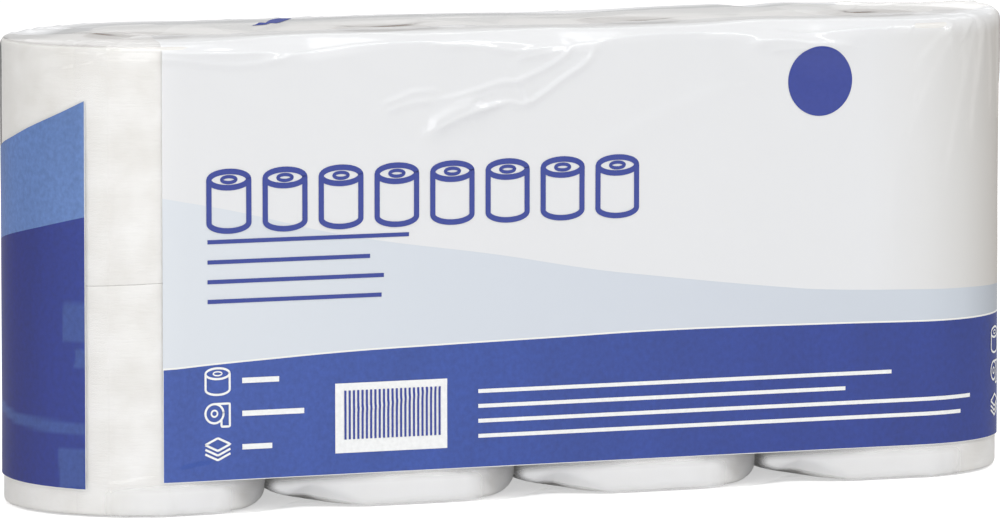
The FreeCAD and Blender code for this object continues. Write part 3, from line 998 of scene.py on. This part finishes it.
def oval(s, w, wide, tall, start=0.0, stop=370.0):
    """Points round a part of an oval, or all round it with a little overlap."""
    angle = np.radians(np.linspace(start, stop, 32))
    return np.stack([s + wide * np.cos(angle), w + tall * np.sin(angle)], -1)


def upright_roll(s, w, wide, tall, high):
    """Lines that draw an upright roll, seen a little from above, each with its part of the stroke."""
    return [(oval(s, w + high, wide, tall), 1), (oval(s, w + high, wide * 0.36, tall * 0.36), 0.6),
            (np.concatenate([along([(s - wide, w + high), (s - wide, w)])[:-1],
                             oval(s, w, wide, tall, 180, 360),
                             along([(s + wide, w), (s + wide, w + high)])[1:]]), 1)]


def marks(name, shapes, material, repeats=REPEATS):
    """All marks of one ink as one piece. Each shape is (grid of places on the artwork, lift), and its
    faces are turned over where its grid runs the other way round.
    """
    places, lifts, faces, count = [], [], [], 0
    for shape, lift in shapes:
        flat = shape.reshape(-1, 2)
        cell = grid_faces(*shape.shape[:2])
        (s0, w0), (s1, w1), (s2, w2) = flat[cell[0, :3]]
        if (s1 - s0) * (w2 - w1) < (w1 - w0) * (s2 - s1):
            cell = cell[:, ::-1]
        places.append(flat)
        lifts.append(np.full(len(flat), MARK_LIFT + lift))
        faces.append(cell + count)
        count += len(flat)
    places, lifts, faces = np.concatenate(places), np.concatenate(lifts), np.concatenate(faces)
    points = [film_points(places[:, 0] + shift, places[:, 1], lifts) for shift in repeats]
    copies = np.concatenate([faces + count * i for i in range(len(repeats))])
    uv = np.concatenate([places[faces]] * len(repeats))
    made = put_mesh(name, np.concatenate(points), copies, material, uv)


SIGN_STROKE = 2.3
SMALL_STROKE = 0.9
CODE_BAR = 0.95

# a row of roll signs, four bars for small lines, a disc, and the even bars
blue_shapes = [(ribbon(line, SIGN_STROKE * part), NEXT_LIFT * i) for s in -144.2 + 24.3 * np.arange(8)
               for i, (line, part) in enumerate(upright_roll(s, 118.8, 8.6, 3.3, 17.5))]
blue_shapes += [(bar(-153.5, right, w, w + 1.7), 0)
                for right, w in ((-66, 110.4), (-83, 102.2), (-77, 94.2), (-78, 86.2))]
blue_shapes += [(disc(117, 168, 14.5), 0)]
blue_shapes += [(bar(s, s + CODE_BAR, 28.5, 48.5), CODE_LIFT) for s in np.linspace(-94.5, -53.3, 23)]

# three small pictograms, one above the other, at the left and again at the right
white_lines = []
for left in (-149.3, 214.0):
    white_lines += upright_roll(left, 51.4, 5.2, 2.2, 6.4)
    # a roll from its end, with a loose sheet
    white_lines += [(oval(left - 1.4, 41.6, 3.9, 3.9), 1), (oval(left - 1.4, 41.6, 1.3, 1.3), 0.8),
                    (along([(left - 1.4, 45.5), (left + 5.2, 45.5), (left + 5.2, 36.2),
                            (left + 1.6, 36.2), (left + 1.6, 39.0)], 0.6), 1)]
    # three plies, one behind the other
    white_lines += [(along([(left - 5.4, 29.0), (left, 31.6), (left + 5.4, 29.0), (left, 26.4),
                            (left - 5.4, 29.0)], 0.7), 1)]
    white_lines += [(along([(left - 5.4, low), (left, low - 2.6), (left + 5.4, low)], 0.7), 1)
                    for low in (27.1, 25.2)]
white_shapes = [(ribbon(line, SMALL_STROKE * part), NEXT_LIFT * (i % 4))
                for i, (line, part) in enumerate(white_lines)]
# bars for the small lines beside them and on the right, and the patch under the even bars
white_shapes += [(bar(-138.7, right, w - 1.1, w + 1.1), 0)
                 for right, w in ((-122.7, 54.6), (-111.9, 41.2), (-125.8, 27.6))]
white_shapes += [(bar(-35.7, right, w - 0.8, w + 0.8), 0)
                 for right, w in ((150, 45.7), (129, 39.6), (190, 33.5), (184, 27.3))]
white_shapes += [(bar(-98.4, -49.4, 23, 51.5), 0)]
marks("blue_marks", blue_shapes, blue_ink)

# A scrap of the print that is folded over the back edge shows on the top between the first two rolls
scrap_back = np.array([(-111.6, 3.5), (-99.5, 22.0), (-91.5, 36.0), (-85.5, 42.5), (-80.2, 41.5)])
scrap_front = np.array([(-111.2, 3.2), (-105.4, 7.0), (-98.4, 15.3), (-91.1, 25.1), (-80.0, 40.8)])
rims = [smooth_line(edge, 9) for edge in (scrap_front, scrap_back)]
share = np.linspace(0, 1, 14)[:, None, None]
scrap = rims[0] * (1 - share) + rims[1] * share
scrap = np.stack([HALF_ROUND - scrap[..., 0], HEIGHT + FILM_R - scrap[..., 1]], -1)
marks("blue_scrap", [(scrap, 0)], blue_ink, (0.0,))
marks("white_marks", white_shapes, white_ink)

# Floor, lamps, background and camera


def seen_ray(tree):
    """1 for rays that show a surface to the eye: straight, in a mirror or through glass. 0 for rays that
    only light others.
    """
    ray = add(tree, "LightPath")
    seen = add(tree, "Math", {0: ray.outputs["Is Camera Ray"], 1: ray.outputs["Is Glossy Ray"]},
               operation="MAXIMUM")
    return add(tree, "Math", {0: seen, 1: ray.outputs["Is Transmission Ray"]}, operation="MAXIMUM")


FLOOR = 9.0                       # metres from its middle to each side
floor_mesh = bpy.data.meshes.new("floor")
floor_mesh.from_pydata([(-FLOOR, -FLOOR, 0), (FLOOR, -FLOOR, 0), (FLOOR, FLOOR, 0), (-FLOOR, FLOOR, 0)],
                       [], [(0, 1, 2, 3)])
floor = bpy.data.objects.new("floor", floor_mesh)
bpy.context.scene.collection.objects.link(floor)
floor_material, tree, output = new_material("matt_white_table")
matt = add(tree, "BsdfDiffuse", {"Color": colour("#ececec")})
lift = add(tree, "Emission", {"Color": colour("#ffffff"), "Strength": 0.7})
brighter = add(tree, "AddShader", {0: matt, 1: lift})
mixed = add(tree, "MixShader", {0: seen_ray(tree), 1: matt, 2: brighter})
tree.links.new(mixed.outputs[0], output.inputs["Surface"])
floor_mesh.materials.append(floor_material)

world = bpy.data.worlds.new("studio")
bpy.context.scene.world = world
world.use_nodes = True
tree = world.node_tree
tree.nodes.clear()
output = add(tree, "OutputWorld")
ambient = add(tree, "Background", {"Color": colour("#fffaf4"), "Strength": 0.31})
backdrop = add(tree, "Background", {"Color": colour("#ffffff"), "Strength": 1.0})
mixed = add(tree, "MixShader", {0: seen_ray(tree), 1: ambient, 2: backdrop})
tree.links.new(mixed.outputs[0], output.inputs["Surface"])

PACK_MIDDLE = Vector((0, 0, 0.096))


def place_on_sphere(azimuth, elevation, distance):
    """A place seen from the middle of the pack: azimuth 0 is in front, and it grows to the right."""
    turn, rise = math.radians(azimuth), math.radians(elevation)
    way = Vector((math.sin(turn) * math.cos(rise), -math.cos(turn) * math.cos(rise), math.sin(rise)))
    return way * distance


def soft_box(name, azimuth, elevation, distance, size, power):
    """A soft box, wide and tall as size says, that faces the pack."""
    light = bpy.data.lights.new(name, "AREA")
    light.shape = "RECTANGLE"
    light.size, light.size_y = size
    light.energy = power
    lamp = bpy.data.objects.new(name, light)
    bpy.context.scene.collection.objects.link(lamp)
    lamp.location = PACK_MIDDLE + place_on_sphere(azimuth, elevation, distance)
    lamp.rotation_euler = (PACK_MIDDLE - lamp.location).to_track_quat("-Z", "Y").to_euler()


soft_box("key", -24, 12, 4.0, (3.0, 1.6), 40)
soft_box("left_fill", -72, 22, 2.6, (1.4, 1.1), 10)
soft_box("strip", 16, 45, 2.4, (2.6, 0.24), 17)
soft_box("overhead", 0, 82, 2.4, (1.4, 1.4), 20)
soft_box("back_strip", 160, 36, 2.6, (2.2, 0.5), 10)

# The camera, as fitted to the photograph: degrees, metres, and where its middle looks past the pack's
CAMERA_AZIMUTH = -22.32
CAMERA_ELEVATION = 5.844
CAMERA_DISTANCE = 3.782
AIM_LEFT = 0.00299
AIM_DOWN = 0.00312
camera_data = bpy.data.cameras.new("camera")
camera_data.sensor_width = 36.0
camera_data.lens = 328.1
camera = bpy.data.objects.new("camera", camera_data)
bpy.context.scene.collection.objects.link(camera)
back = place_on_sphere(CAMERA_AZIMUTH, CAMERA_ELEVATION, 1.0)
right = (-back).cross(Vector((0, 0, 1))).normalized()
up = right.cross(-back)
aim = PACK_MIDDLE - right * AIM_LEFT - up * AIM_DOWN
camera.location = aim + back * CAMERA_DISTANCE
camera.rotation_euler = (-back).to_track_quat("-Z", "Y").to_euler()
camera_data.clip_start = 0.1
camera_data.clip_end = 60.0
bpy.context.scene.camera = camera
bpy.context.scene.view_settings.view_transform = "Standard"
